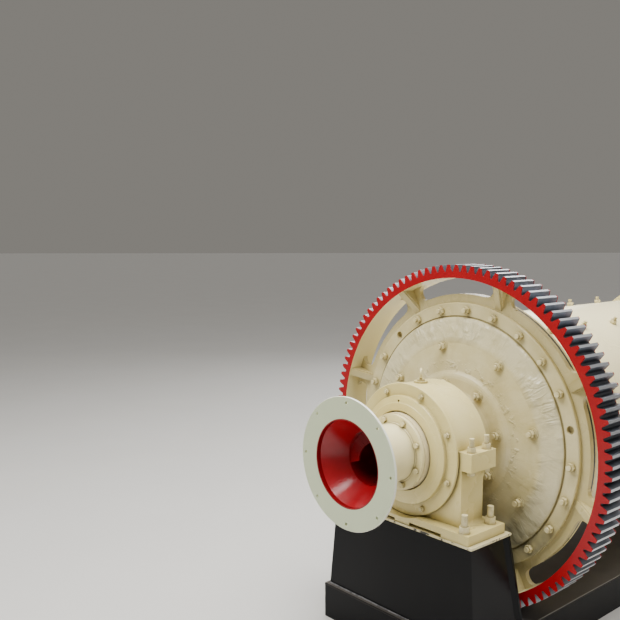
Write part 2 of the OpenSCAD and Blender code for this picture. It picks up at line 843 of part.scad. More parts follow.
module gear_spider() {
    color(cream) difference() {
        intersection() {
            disc(gear_rim_r, gear_y0, gear_y1, 180);
            union() {
                disc(shell_flange_r, web_y0, web_y1);
                for (i = [0:spoke_count - 1])
                    translate([0, 0, axis_z]) rotate([0, -spoke_turn - 360 / spoke_count * i, 0]) {
                        translate([0, web_y1, 0]) rotate([90, 0, 0]) linear_extrude(height = gear_web_t)
                            polygon(spoke_points);
                        spoke_rib(spoke_rib_t, 0);
                        spoke_rib(spoke_rib_t + spoke_rib_fillet, gear_web_t * 0.3);
                    }
            }
        }
        disc(shell_ir, web_y0 - 1, web_y1 + 1);
        head_bolt_spots(false) rod(head_hole_r, web_y0 - 1, web_y1 + 1);
    }
}

// Bolts through the head flange, and at the feed end through the gear ring too
module head_bolts(back) {
    color(cream) head_bolt_spots(false) {
        rod(head_bolt_r, back - 10, head_face + 34);
        rod(20, head_face, head_face + 4);
        hex_y(36, head_face + 4, head_face + 23);
        hex_y(36, back - 15, back);
    }
}

module head_bolts_feed() {
    mirror([0, 1, 0]) head_bolts(head_in - gear_web_t - shell_flange_t);
}

module head_bolts_discharge() {
    head_bolts(head_in - shell_flange_t);
}

module liner_bolts(side) {
    color(cream) end_of(side) {
        liner_bolt_spots(liner_ring_outer_r) liner_bolt(boss_out_y);
        liner_bolt_spots(liner_ring_inner_r) liner_bolt(boss_in_y);
    }
}

module liner_bolt(y) {
    rod(24, y, y + 5);
    hex_y(36, y + 5, y + 25);
    rod(12, y + 25, y + 36);
}

module liner_bolts_feed() {
    liner_bolts(-1);
}

module liner_bolts_discharge() {
    liner_bolts(1);
}

module spout(side) {
    inner = spout_tube_r - spout_wall;
    color(cream) end_of(side) difference() {
        turned([[inner, trunnion_end], [spout_foot_r, trunnion_end], [spout_foot_r, foot_1],
            [spout_tube_r + 6, foot_1], [spout_tube_r, foot_1 + 6], [spout_tube_r, throat_1],
            [mouth_r + liner_wall + spout_wall, flange_0], [spout_flange_r - 2, flange_0],
            [spout_flange_r, flange_0 + 2], [spout_flange_r, spout_end - 2], [spout_flange_r - 2, spout_end],
            [mouth_r + liner_wall, spout_end], [mouth_r + liner_wall, lip_0], [inner, throat_1]]);
        for (i = [0:7]) polar(45 * i, spout_hole_circle_r) rod(spout_hole_r, flange_0 - 1, spout_end + 1);
        for (i = [0:spout_bolts - 1]) polar(22.5 + 45 * i, spout_foot_bolt_r)
            rod(8.5, trunnion_end - 1, foot_1 + 1);
    }
}

module spout_feed() {
    spout(-1);
}

module spout_discharge() {
    spout(1);
}

module cone(side) {
    outer = spout_tube_r - spout_wall;
    color(red) end_of(side) turned([[throat_r, liner_0], [outer, liner_0], [outer, throat_1],
        [mouth_r + liner_wall, lip_0], [mouth_r + liner_wall, spout_end], [mouth_r, spout_end],
        [mouth_r, lip_0], [throat_r, throat_1]]);
}

module cone_feed() {
    cone(-1);
}

module cone_discharge() {
    cone(1);
}

// The screw flight is a chain of flat sector plates, each tilted to the lead
module feed_vane() {
    steps = 24;
    step = 360 / steps;
    mid_r = throat_r - vane_w / 2;
    tilt = atan(vane_lead / (2 * PI * mid_r));
    color(red) intersection() {
        disc(throat_r, -throat_1, -liner_0);
        union() for (i = [0:steps - 1])
            translate([0, -throat_1 + 10 + vane_lead / steps * i, axis_z])
                rotate([0, step * (i + 0.5) - vane_turn, 0]) rotate([tilt, 0, 0])
                    translate([throat_r - vane_w, 0, 0]) rotate([90, 0, 0]) translate([0, 0, -vane_t / 2])
                        linear_extrude(height = vane_t)
                            polygon([[0, -11], [vane_w + 30, -24], [vane_w + 30, 24], [0, 11]]);
    }
}

module spout_foot_bolts(side) {
    color(cream) end_of(side) for (i = [0:spout_bolts - 1]) polar(22.5 + 45 * i, spout_foot_bolt_r) {
        rod(8, trunnion_end, foot_1 + 3);
        rod(15, foot_1, foot_1 + 3);
        hex_y(24, foot_1 + 3, foot_1 + 15);
    }
}

module spout_bolts_feed() {
    spout_foot_bolts(-1);
}

module spout_bolts_discharge() {
    spout_foot_bolts(1);
}

base_end_beams();
base_rails();
base_cross_beams();
base_deck();
plinth_feed();
plinth_discharge();
seat_plate_feed();
seat_plate_discharge();
housing_feed();
housing_discharge();
cap_feed();
cap_discharge();
bush_feed();
bush_discharge();
cover_feed();
cover_discharge();
rear_ring_feed();
rear_ring_discharge();
cover_bolts_feed();
cover_bolts_discharge();
cap_studs_feed();
cap_studs_discharge();
hold_bolts_feed();
hold_bolts_discharge();
eyes();
shell();
shell_flanges();
shell_bolts();
head_feed();
head_discharge();
trunnion_feed();
trunnion_discharge();
gear_rim();
gear_spider();
head_bolts_feed();
head_bolts_discharge();
liner_bolts_feed();
liner_bolts_discharge();
spout_feed();
spout_discharge();
cone_feed();
cone_discharge();
feed_vane();
spout_bolts_feed();
spout_bolts_discharge();
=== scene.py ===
# %% [markdown]
# # Dressing a ball mill
#
# A ball mill grinds ore in a slowly turning steel drum.  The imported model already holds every
# machined and fabricated piece at its true size, so this lesson leaves those meshes alone and
# works on what the eye adds: paint, bare steel, dust, weld beads and threads.
# Everything is in metres, with the mill's axis along Y and the ground at Z = 0.

# %% Load the frame
import math
import bpy
import bmesh
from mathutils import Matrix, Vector, noise


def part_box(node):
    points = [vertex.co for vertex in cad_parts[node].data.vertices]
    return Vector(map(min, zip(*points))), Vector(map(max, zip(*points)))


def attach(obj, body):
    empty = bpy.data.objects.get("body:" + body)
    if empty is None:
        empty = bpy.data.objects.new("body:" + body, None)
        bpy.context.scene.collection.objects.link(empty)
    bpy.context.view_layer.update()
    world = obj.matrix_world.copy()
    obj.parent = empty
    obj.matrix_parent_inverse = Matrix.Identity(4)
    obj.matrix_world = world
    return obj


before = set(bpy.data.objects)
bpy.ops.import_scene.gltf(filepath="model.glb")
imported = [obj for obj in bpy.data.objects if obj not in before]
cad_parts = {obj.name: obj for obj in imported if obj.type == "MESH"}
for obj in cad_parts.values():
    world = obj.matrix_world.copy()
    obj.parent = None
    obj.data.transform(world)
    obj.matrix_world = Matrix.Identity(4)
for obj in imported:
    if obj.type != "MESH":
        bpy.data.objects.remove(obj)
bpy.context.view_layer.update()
shell_low, shell_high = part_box("shell")
AXIS_Z = round((shell_low.z + shell_high.z) / 2, 4)
print("nodes", len(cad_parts), "axis height", AXIS_Z)

# %% [markdown]
# The camera comes first, because every finish is judged through it.  It could be placed by eye and
# nudged until the outlines agree.  Here its place, angles and focal length were solved from the
# circles of the real mill, which is quicker and closer: it stands where the photographer stood, a
# little above the axis, out in front of the feed end, looking along the drum.

# %% Place the camera
SENSOR_MM, FOCAL_MM = 36.0, 45.93
SHIFT_X, SHIFT_Y = -0.0326, 0.0342
STANDING_PLACE = (2.6005, -4.4518, 2.0627)
LOOK_DOWN, LEAN, TURN = 0.119, 0.001, 0.847  # in radians

camera_data = bpy.data.cameras.new("photo_camera")
camera_data.sensor_width = SENSOR_MM
camera_data.lens = FOCAL_MM
camera_data.shift_x = SHIFT_X
camera_data.shift_y = SHIFT_Y
camera_data.clip_start = 0.05
camera_data.clip_end = 100.0
camera = bpy.data.objects.new("photo_camera", camera_data)
bpy.context.scene.collection.objects.link(camera)
camera.location = STANDING_PLACE
camera.rotation_euler = (math.radians(90) - LOOK_DOWN, LEAN, TURN)
bpy.context.scene.camera = camera
print("camera at", tuple(round(c, 3) for c in camera.location))

# %% [markdown]
# Colours are picked as sRGB hex values, which is how a paint card or a photo editor gives them.
# Shaders want linear light, so one function converts them.  A second small function adds a node,
# sets its values and wires its inputs, which keeps each material readable as one list of steps.

# %% Colours and nodes
def linear(code):
    channels = [int(code[i:i + 2], 16) / 255 for i in (1, 3, 5)]
    light = [c / 12.92 if c <= 0.04045 else ((c + 0.055) / 1.055) ** 2.4 for c in channels]
    return (*light, 1.0)


def add(can, kind, *values, give=None, **settings):
    made = can["tree"].nodes.new("ShaderNode" + kind)
    for key, value in settings.items():
        setattr(made, key, value)
    for socket, value in zip([s for s in made.inputs if s.enabled], values):
        if isinstance(value, bpy.types.NodeSocket):
            can["tree"].links.new(value, socket)
        elif value is not None:
            socket.default_value = value
    return made.outputs[give] if give else next(s for s in made.outputs if s.enabled)


print("cream in linear light", [round(c, 3) for c in linear("#E6D6B0")])

# %% [markdown]
# Each finish is mixed in a paint can: a material with its node tree, its shader, each point's
# place, the way its surface faces and the colour as it stands so far.  `coat` lays one more colour
# over it through a mask, so dirt, bare metal or a second paint go on in the order in which they did
# in the workshop.  Where a finish changes between rings of the mill, the mask is a distance from
# the mill's axis.  Noise scales are written as 1000 / n, which makes patches n millimetres apart.

# %% Paint cans, coats and masks
def paint_can(name, base):
    material = bpy.data.materials.new(name)
    material.use_nodes = True
    can = {"material": material, "tree": material.node_tree, "base": linear(base), "colour": None}
    can["shader"] = can["tree"].nodes["Principled BSDF"]
    can["shader"].inputs["Base Color"].default_value = can["base"]
    can["point"] = add(can, "TexCoord", give="Object")
    facing = add(can, "TexCoord", give="Normal")
    for kind, source in (("place", can["point"]), ("face", facing)):
        for axis in "XYZ":
            can[kind + "_" + axis.lower()] = add(can, "SeparateXYZ", source, give=axis)
    return can


def pour(can, socket_name, value):
    can["tree"].links.new(value, can["shader"].inputs[socket_name])


def coat(can, mask, code):
    below = can["colour"] or can["base"]
    can["colour"] = add(can, "Mix", mask, below, linear(code), data_type="RGBA")
    pour(can, "Base Color", can["colour"])


def from_axis(can):
    up = add(can, "Math", can["place_z"], AXIS_Z, operation="SUBTRACT")
    across_squared = add(can, "Math", can["place_x"], can["place_x"], operation="MULTIPLY")
    squared = add(can, "Math", up, up, across_squared, operation="MULTIPLY_ADD")
    return add(can, "Math", squared, operation="SQRT")


def from_middle(can):
    return add(can, "Math", can["place_y"], operation="ABSOLUTE")


print("masks are measured from the axis at", AXIS_Z, "and from the middle at y = 0")

# %% [markdown]
# ** Cream alkyd enamel.** Drum, castings and fasteners share one cream enamel, sprayed or brushed
# on.  It dries glossy with a faint orange peel 4 mm from bump to bump, and its colour drifts where
# the coat is thicker.  Corners are painted yellow brown: painted shade, warm as shade in a bright
# hall is, together with grease and dust that gather there and are never wiped out.  Painted masks
# could show that, but they would need a picture for each piece, so two occlusion masks find the
# hollows instead: a wide one lays a thin olive film of painted shade and grime, and a narrow one a
# dark line of painted shade in each corner.

# %% Cream enamel
ENAMEL_IOR = 1.5
FLECK_MM = 16
CORNER_REACH = 0.014


def cream_enamel(name, light, dark, roughness, peel_mm, peel_depth, drift_mm, shade_and_grime,
                 speck=0.25, reach=0.06):
    can = paint_can(name, light)
    drift = add(can, "TexNoise", can["point"], 1000 / drift_mm, 4.0, 0.55)
    coat(can, add(can, "MapRange", drift, 0.3, 0.7, 0.0, 1.0), dark)
    # Both occlusion coats below are painted shade in hollows and corners, together with grime.
    hollow = add(can, "AmbientOcclusion", None, reach, give="AO", samples=5)
    coat(can, add(can, "MapRange", hollow, 0.95, 0.35, 0.0, shade_and_grime), "#9C8B4E")
    corner = add(can, "AmbientOcclusion", None, CORNER_REACH, give="AO", samples=5)
    coat(can, add(can, "MapRange", corner, 0.75, 0.35, 0.0, shade_and_grime * 0.9), "#5A4C28")
    flecks = add(can, "TexNoise", can["point"], 1000 / FLECK_MM, 6.0, 0.7)
    coat(can, add(can, "MapRange", flecks, 0.62, 0.8, 0.0, speck), "#83724A")
    pour(can, "Roughness", add(can, "MapRange", drift, 0.2, 0.8, roughness - 0.06, roughness + 0.08))
    peel = add(can, "TexNoise", can["point"], 1000 / peel_mm, 3.0, 0.5)
    can["skin"] = add(can, "Bump", 0.6, peel_depth, None, peel)
    pour(can, "Normal", can["skin"])
    can["shader"].inputs["IOR"].default_value = ENAMEL_IOR
    return can


# Sprayed on rolled plate: long even highlights, with hardly any peel.
plate_cream = cream_enamel("cream_alkyd_enamel_sprayed_on_plate", "#F1E6BA", "#EADDAA",
                           roughness=0.24, peel_mm=4, peel_depth=0.00012, drift_mm=600,
                           shade_and_grime=0.35, speck=0.12)
# Brushed on sand castings: the grain of the mould shows through and softens each highlight.  The
# real grain is about 2 mm, too fine to show in the whole picture, so it is drawn 11 mm wide.
cast_cream = cream_enamel("cream_alkyd_enamel_brushed_on_casting", "#E4D69C", "#D8C784",
                          roughness=0.27, peel_mm=11, peel_depth=0.0007, drift_mm=260,
                          shade_and_grime=0.75)
# Dabbed on bolts and nuts: blotchy, because the brush only skims them, with brown corners of painted shade
# and grime.
bolt_cream = cream_enamel("cream_alkyd_enamel_on_fasteners", "#E4D9AE", "#C8BA86",
                          roughness=0.24, peel_mm=6, peel_depth=0.0003, drift_mm=30,
                          shade_and_grime=0.8, speck=0.4, reach=0.018)
# On the gear's spokes: the cream is painted darker and greyer, as painted shade under the rim, over rough
# cast iron with shallow dimples.
ring_cream = cream_enamel("cream_alkyd_enamel_on_spoked_ring", "#CCC094", "#BFB17D",
                          roughness=0.27, peel_mm=9, peel_depth=0.0009, drift_mm=200,
                          shade_and_grime=0.12, speck=0.3, reach=0.02)
print("made", plate_cream["material"].name, cast_cream["material"].name)

# %% [markdown]
# Inside the drum there is no paint.  Raw rolled plate and ground-in ore dust are dark brown and
# matt, and the colour is made near black as painted shade, since little light gets in; so the
# throat of the mill looks black.  A second material would need the faces of the mesh split, so a
# mask by radius is simpler: paint ends half-way through the shell's plate.

# %% Bare inside of the drum, painted dark as shade
HALF_SHELL_PLATE = 0.008
BARE_PLATE_IN_SHADE = "#2B2724"
bare_r = shell_high.z - AXIS_Z - HALF_SHELL_PLATE
bare_shaded_inside = add(plate_cream, "Math", from_axis(plate_cream), bare_r, operation="LESS_THAN")
# Painted shade over bare plate: the inside of the drum is near black.
coat(plate_cream, bare_shaded_inside, BARE_PLATE_IN_SHADE)
print("bare plate below radius", round(bare_r, 3))

# %% [markdown]
# ** The drum's flanges** are cut from thick plate. On the one behind the girth gear, the outer edge
# next to the gear is painted almost black: this is painted shade for the gap between gear and drum,
# and it is the dark line seen through the windows of the gear.  The mask is the product of two:
# outermost in radius, and next to the gear along the axis.

# %% Cream flanges with one painted shadow line
EDGE_SKIN = 0.002
SHADOW_SLIT_WIDTH = 0.014
flange_cream = cream_enamel("cream_alkyd_enamel_on_flange_plate", "#E3D7A4", "#D7C88C",
                            roughness=0.28, peel_mm=8, peel_depth=0.0004, drift_mm=260,
                            shade_and_grime=0.6, speck=0.2)
flange_low, flange_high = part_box("shell_flanges")
flange_r = flange_high.z - AXIS_Z
outer_edge = add(flange_cream, "Math", from_axis(flange_cream), flange_r - EDGE_SKIN,
                 operation="GREATER_THAN")
beside_gear = add(flange_cream, "Math", flange_cream["place_y"], flange_low.y + SHADOW_SLIT_WIDTH,
                  operation="LESS_THAN")
shadow_slit = add(flange_cream, "Math", outer_edge, beside_gear, operation="MULTIPLY")
# Painted shade: the outer edge beside the gear is almost black.
coat(flange_cream, shadow_slit, "#2E2A20")
print("drum flange radius", round(flange_r, 3))

# %% [markdown]
# **The head covers** are large sand castings.  Between the liner bolts and the groove the dome was
# levelled with filler, dragged inwards with a wide knife.  It left a slope of one in ten that ends
# at the groove; nearer the hub the casting is smooth.  The slope is too shallow to change the
# outline, so it is bump on the cast mesh: a height that falls with the distance from the axis.

# %% Cream enamel over filler on the heads
FILLER_STARTS, FILLER_FULL, FILLER_ENDS = 0.49, 0.52, 0.622
SLOPE_STARTS, SLOPE = 0.50, -0.10
head_cream = cream_enamel("cream_alkyd_enamel_over_filled_casting", "#D8CDA2", "#C6B884",
                          roughness=0.24, peel_mm=7, peel_depth=0.0006, drift_mm=180,
                          shade_and_grime=0.45, speck=0.35, reach=0.03)
head_radius = from_axis(head_cream)
outside_bolts = add(head_cream, "MapRange", head_radius, FILLER_STARTS, FILLER_FULL, 0.0, 1.0)
inside_groove = add(head_cream, "Math", head_radius, FILLER_ENDS, operation="LESS_THAN")
filled = add(head_cream, "Math", outside_bolts, inside_groove, operation="MULTIPLY")
past_start = add(head_cream, "Math", head_radius, SLOPE_STARTS, operation="SUBTRACT")
sloping = add(head_cream, "Math", past_start, SLOPE, operation="MULTIPLY")
filler_height = add(head_cream, "Math", sloping, filled, operation="MULTIPLY")
levelled = add(head_cream, "Bump", 1.0, 1.0, None, filler_height, head_cream["skin"])
print("filler from radius", FILLER_STARTS, "to", FILLER_ENDS)

# %% [markdown]
# The knife left strokes that run towards the hub, in patches and mostly on the filler.  They are a
# noise on each point's direction from the axis, so they turn with the ring; a plain noise would
# show no direction.  Crumbs of filler dried on beside the hub step, so a second noise is kept to a
# ring there.  Each bump is stacked on the one below it, from the deepest layer up.

# %% Knife strokes and crumbs of filler
STROKE_MM, STROKE_SQUEEZE = 52, 0.7
CRUMB_MM, PATCH_MM = 26, 150
CRUMB_RING, CRUMB_FULL, CRUMB_GONE = 0.372, 0.012, 0.034
crumb_noise = add(head_cream, "TexNoise", head_cream["point"], 1000 / CRUMB_MM, 3.0, 0.6)
crumbs = add(head_cream, "MapRange", crumb_noise, 0.53, 0.69, 0.0, 1.0)
from_ring = add(head_cream, "Math", head_radius, CRUMB_RING, operation="SUBTRACT")
off_ring = add(head_cream, "Math", from_ring, operation="ABSOLUTE")
beside_step = add(head_cream, "MapRange", off_ring, CRUMB_FULL, CRUMB_GONE, 1.0, 0.0)
crumb_height = add(head_cream, "Math", crumbs, beside_step, operation="MULTIPLY")
crumbed = add(head_cream, "Bump", 1.0, 0.0042, None, crumb_height, levelled)

# A stroke is 52 mm wide at 1 m from the axis, so 25 to 32 mm on the filler, and about 74 mm long.
above_axis = add(head_cream, "Math", head_cream["place_z"], AXIS_Z, operation="SUBTRACT")
bearing_x = add(head_cream, "Math", head_cream["place_x"], head_radius, operation="DIVIDE")
bearing_z = add(head_cream, "Math", above_axis, head_radius, operation="DIVIDE")
inwards = add(head_cream, "Math", head_radius, STROKE_SQUEEZE, operation="MULTIPLY")
direction = add(head_cream, "CombineXYZ", bearing_x, bearing_z, inwards)
strokes = add(head_cream, "TexNoise", direction, 1000 / STROKE_MM, 4.0, 0.5, 2.0, 0.8)
patch_noise = add(head_cream, "TexNoise", head_cream["point"], 1000 / PATCH_MM, 2.0, 0.5)
patchy = add(head_cream, "MapRange", patch_noise, 0.42, 0.62, 0.15, 1.0)
strokes_in_patches = add(head_cream, "Math", strokes, patchy, operation="MULTIPLY")
faint_off_filler = add(head_cream, "MapRange", filled, 0.0, 1.0, 0.12, 1.0)
ripples = add(head_cream, "Math", strokes_in_patches, faint_off_filler, operation="MULTIPLY")
pour(head_cream, "Normal", add(head_cream, "Bump", 1.0, 0.019, None, ripples, crumbed))
print("strokes", round(STROKE_MM * FILLER_STARTS), "to", round(STROKE_MM * FILLER_ENDS), "mm wide")

# %% [markdown]
# The filler got a paler coat.  The lower side is painted darker olive grey in patches, as painted
# shade; hands and rags left faint smears; the groove is a thin olive line of painted shade; and the
# back and the bore have no paint and are painted near black as painted shade.  Each is one more
# coat through its own mask, in the order in which they came.

# %% Pale coat, painted shade below and in the groove
SMEAR_MM = 90
GROOVE_INNER, GROOVE_OUTER = 0.6225, 0.6310
HEAD_BORE_R = 0.146
coat(head_cream, add(head_cream, "Math", filled, 0.28, operation="MULTIPLY"), "#D3D0B8")
# Painted shade: the lower side of the head is darkened in patches.
below_axis = add(head_cream, "MapRange", bearing_z, -0.25, -0.75, 0.0, 0.85)
outer_part = add(head_cream, "MapRange", head_radius, 0.42, 0.54, 0.15, 1.0)
low_side = add(head_cream, "Math", below_axis, outer_part, operation="MULTIPLY")
coat(head_cream, add(head_cream, "Math", low_side, patchy, operation="MULTIPLY"), "#7F7B62")
drawn_out = add(head_cream, "Mapping", head_cream["point"], None, None, (1.0, 1.0, 0.4))
smear_noise = add(head_cream, "TexNoise", drawn_out, 1000 / SMEAR_MM, 6.0, 0.7)
coat(head_cream, add(head_cream, "MapRange", smear_noise, 0.5, 0.75, 0.0, 0.35), "#B9AC7E")
# Painted shade: a thin olive line in the groove.
past_filler = add(head_cream, "Math", head_radius, GROOVE_INNER, operation="GREATER_THAN")
before_flange = add(head_cream, "Math", head_radius, GROOVE_OUTER, operation="LESS_THAN")
groove = add(head_cream, "Math", past_filler, before_flange, operation="MULTIPLY")
coat(head_cream, add(head_cream, "Math", groove, 0.5, operation="MULTIPLY"), "#6E6034")
# Back and bore: bare plate, painted near black as painted shade.
towards_end = add(head_cream, "Math", head_cream["face_y"], head_cream["place_y"], operation="MULTIPLY")
back_face = add(head_cream, "Math", towards_end, -0.2, operation="LESS_THAN")
head_bore = add(head_cream, "Math", head_radius, HEAD_BORE_R, operation="LESS_THAN")
coat(head_cream, add(head_cream, "Math", back_face, head_bore, operation="MAXIMUM"), BARE_PLATE_IN_SHADE)
print("made", head_cream["material"].name)

# %% [markdown]
# **The spouts** are turned flanges and thin tube, so their enamel lies flat and looks smoother.
# The wide flange got an older grey cream batch with a hint of green, and its rim is rubbed bright
# by handling.  Both masks are distances, along the axis and from it, so they fit both ends.

# %% Smooth enamel on spouts
GREY_BATCH_WIDTH = 0.0135
RUB_STARTS, RUB_FULL = 0.0035, 0.001
spout_cream = cream_enamel("grey_cream_enamel_on_turned_flange", "#F0E4B6", "#E8DBA6",
                           roughness=0.22, peel_mm=5, peel_depth=0.0001, drift_mm=300,
                           shade_and_grime=0.45, speck=0.1)
spout_low, spout_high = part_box("spout_feed")
spout_end = abs(spout_low.y)
spout_flange_r = (spout_high.z - spout_low.z) / 2
wide_flange = add(spout_cream, "Math", from_middle(spout_cream), spout_end - GREY_BATCH_WIDTH,
                  operation="GREATER_THAN")
coat(spout_cream, wide_flange, "#C2CBAB")
outermost = add(spout_cream, "MapRange", from_axis(spout_cream), spout_flange_r - RUB_STARTS,
                spout_flange_r - RUB_FULL, 0.0, 1.0)
rubbed_rim = add(spout_cream, "Math", wide_flange, outermost, operation="MULTIPLY")
coat(spout_cream, add(spout_cream, "Math", rubbed_rim, 0.8, operation="MULTIPLY"), "#F2F0E2")
print("spout flange radius", round(spout_flange_r, 3))

# %% [markdown]
# ** Red gloss enamel.** The inside of the spouts is brushed signal red. The coat is thick, so it
# is glossy, and brush lines make its highlights long and soft.  The lip at the mouth is dark, where
# the brush left a second, dried coat, and deeper in the tube the red is painted down to brown:
# painted shade where little light reaches, together with ore dust.  The brush lines are noise that
# is stretched four times along the axis.

# %% Red gloss enamel
LIP_WIDTH = 0.023
SHADE_AND_DUST_STARTS, SHADE_AND_DUST_FULL = 1.935, 1.86
RED_BRUSH_MM = 12
red_gloss = paint_can("red_gloss_alkyd_enamel_brushed", "#A9131F")
red_drift = add(red_gloss, "TexNoise", red_gloss["point"], 1000 / 150, 5.0, 0.6)
coat(red_gloss, add(red_gloss, "MapRange", red_drift, 0.3, 0.7, 0.0, 1.0), "#8E0D18")
outwards = from_middle(red_gloss)
lip = add(red_gloss, "Math", outwards, spout_end - LIP_WIDTH, operation="GREATER_THAN")
coat(red_gloss, add(red_gloss, "Math", lip, 0.55, operation="MULTIPLY"), "#5A0A0D")
# Painted shade with ore dust: the red darkens to brown deeper in the tube.
coat(red_gloss, add(red_gloss, "MapRange", outwards, SHADE_AND_DUST_STARTS, SHADE_AND_DUST_FULL, 0.0, 0.6), "#3A1218")
pour(red_gloss, "Roughness", add(red_gloss, "MapRange", red_drift, 0.2, 0.8, 0.16, 0.28))
brushed = add(red_gloss, "Mapping", red_gloss["point"], None, None, (1.0, 0.25, 1.0))
brush_lines = add(red_gloss, "TexNoise", brushed, 1000 / RED_BRUSH_MM, 3.0, 0.5)
pour(red_gloss, "Normal", add(red_gloss, "Bump", 0.5, 0.0006, None, brush_lines))
red_gloss["shader"].inputs["IOR"].default_value = ENAMEL_IOR
print("made", red_gloss["material"].name)

# %% [markdown]
# ** The toothed rim** carries three finishes on one casting: bare hobbed teeth, red faces and a
# cream bore.  The faces could get a material each, but the overspray crosses from face to tooth,
# so all three are coats in one can, and bare metal is wherever no paint lies.  The steel comes
# first: blue grey and painted darker down the flanks, as painted shade between the teeth together
# with oil; the top lands are painted bright, a painted highlight together with wear by the pinion.

# %% Bare hobbed teeth
TOOTH_HEIGHT = 0.036
LAND_STARTS, LAND_FULL = 0.0015, 0.0008
OIL_AND_SHADE_STARTS = 0.010
HOB_MARK_MM = 4
rim_low, rim_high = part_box("gear_rim")
tip_r = (rim_high.z - rim_low.z) / 2
gear_finish = paint_can("hobbed_cast_steel_with_enamel_faces", "#979BA2")
gear_radius = from_axis(gear_finish)
stain = add(gear_finish, "TexNoise", gear_finish["point"], 1000 / 110, 5.0, 0.6)
coat(gear_finish, add(gear_finish, "MapRange", stain, 0.3, 0.7, 0.0, 1.0), "#757A82")
top_land = add(gear_finish, "MapRange", gear_radius, tip_r - LAND_STARTS, tip_r - LAND_FULL, 0.0, 1.0)
# Painted highlight with wear: the top lands are lighter.
coat(gear_finish, top_land, "#D2D5D9")
# Painted shade with oil: darker down the flanks towards the root.
oil_and_shade = add(gear_finish, "MapRange", gear_radius, tip_r - OIL_AND_SHADE_STARTS, tip_r - TOOTH_HEIGHT, 0.05, 0.65)
coat(gear_finish, oil_and_shade, "#3A3D42")

# The hob's real marks are a fraction of a millimetre; drawn 4 mm apart, they show as brushed steel.
along_tooth = add(gear_finish, "Mapping", gear_finish["point"], None, None, (1.0, 0.05, 1.0))
hob_marks = add(gear_finish, "TexNoise", along_tooth, 1000 / HOB_MARK_MM, 3.0, 0.5)
pour(gear_finish, "Normal", add(gear_finish, "Bump", 0.35, 0.0003, None, hob_marks))
print("tip radius", round(tip_r, 4), "tooth height", TOOTH_HEIGHT)

# %% [markdown]
# The rim's flat faces were sprayed red, and overspray makes a ragged red strip along the tooth
# ends; the bore was brushed cream with the spokes.  A face's own direction tells the flat faces
# from the teeth, and a noise shifts the limit of the strip back and forth.

# %% Red faces, overspray and cream bore
BORE_DEPTH = 0.066
SPRAY_WIDTH, SPRAY_RAGGED = 0.0115, 0.012
rim_mid, rim_half = (rim_low.y + rim_high.y) / 2, (rim_high.y - rim_low.y) / 2
along_axis = add(gear_finish, "Math", gear_finish["face_y"], operation="ABSOLUTE")
end_face = add(gear_finish, "Math", along_axis, 0.6, operation="GREATER_THAN")
from_rim_mid = add(gear_finish, "Math", gear_finish["place_y"], rim_mid, operation="SUBTRACT")
off_mid = add(gear_finish, "Math", from_rim_mid, operation="ABSOLUTE")
spray_noise = add(gear_finish, "TexNoise", gear_finish["point"], 1000 / 14, 4.0, 0.5)
ragged = add(gear_finish, "Math", spray_noise, SPRAY_RAGGED, rim_half - SPRAY_WIDTH,
             operation="MULTIPLY_ADD")
overspray = add(gear_finish, "Math", off_mid, ragged, operation="GREATER_THAN")
red_part = add(gear_finish, "Math", end_face, overspray, operation="MAXIMUM")
coat(gear_finish, red_part, "#9E1019")
thicker = add(gear_finish, "MapRange", stain, 0.35, 0.75, 0.0, 0.6)
coat(gear_finish, add(gear_finish, "Math", red_part, thicker, operation="MULTIPLY"), "#860C14")
below_teeth = add(gear_finish, "Math", gear_radius, tip_r - BORE_DEPTH, operation="LESS_THAN")
not_end_face = add(gear_finish, "Math", 1.0, end_face, operation="SUBTRACT")
in_bore = add(gear_finish, "Math", below_teeth, not_end_face, operation="MULTIPLY")
coat(gear_finish, in_bore, "#E8DDB0")
painted = add(gear_finish, "Math", red_part, in_bore, operation="MAXIMUM")
pour(gear_finish, "Metallic", add(gear_finish, "Math", 1.0, painted, operation="SUBTRACT"))
pour(gear_finish, "Roughness", add(gear_finish, "MapRange", painted, 0.0, 1.0, 0.44, 0.24))
# Dried grease takes some of the gloss from the red, so it reflects less than fresh enamel.
gear_finish["shader"].inputs["Specular IOR Level"].default_value = 0.3
print("face width", round(2 * rim_half, 3))

# %% [markdown]
# ** Black gloss enamel on welded plate**, for base and plinths. It is deep and slightly blue.
# Every surface that faces up is painted lighter grey brown: workshop dust, together with a painted
# reflection of the bright roof on the gloss, and the walls carry a faint powdery veil.  Dust
# settles and the roof is seen only where a face looks up, so the mask is the face's own direction,
# and a noise makes it uneven, as sweeping does.

# %% Black enamel with dust and a painted reflection
black_gloss = paint_can("black_gloss_enamel_on_welded_plate", "#050609")
patches = add(black_gloss, "TexNoise", black_gloss["point"], 1000 / 200, 8.0, 0.65)
facing_up = add(black_gloss, "MapRange", black_gloss["face_z"], 0.5, 0.95, 0.0, 1.0)
uneven = add(black_gloss, "MapRange", patches, 0.2, 0.7, 0.5, 0.95)
# Painted reflection with dust: faces that look up are lighter.
dust_and_sheen = add(black_gloss, "Math", facing_up, uneven, operation="MULTIPLY")
powdery = add(black_gloss, "MapRange", patches, 0.45, 0.75, 0.0, 0.02)
sheen_and_veil = add(black_gloss, "Math", dust_and_sheen, powdery, operation="MAXIMUM")
coat(black_gloss, sheen_and_veil, "#5A5550")
flat_cells = add(black_gloss, "Mapping", black_gloss["point"], None, None, (1.0, 1.0, 2.5))
scuffs = add(black_gloss, "TexNoise", flat_cells, 1000 / 26, 9.0, 0.75)
coat(black_gloss, add(black_gloss, "MapRange", scuffs, 0.68, 0.80, 0.0, 0.3), "#3C3E43")
pour(black_gloss, "Roughness", add(black_gloss, "MapRange", sheen_and_veil, 0.0, 1.0, 0.24, 0.75))
black_peel = add(black_gloss, "TexNoise", black_gloss["point"], 1000 / 9, 2.0, 0.5)
pour(black_gloss, "Normal", add(black_gloss, "Bump", 0.4, 0.0004, None, black_peel))
black_gloss["shader"].inputs["IOR"].default_value = ENAMEL_IOR
print("made", black_gloss["material"].name)
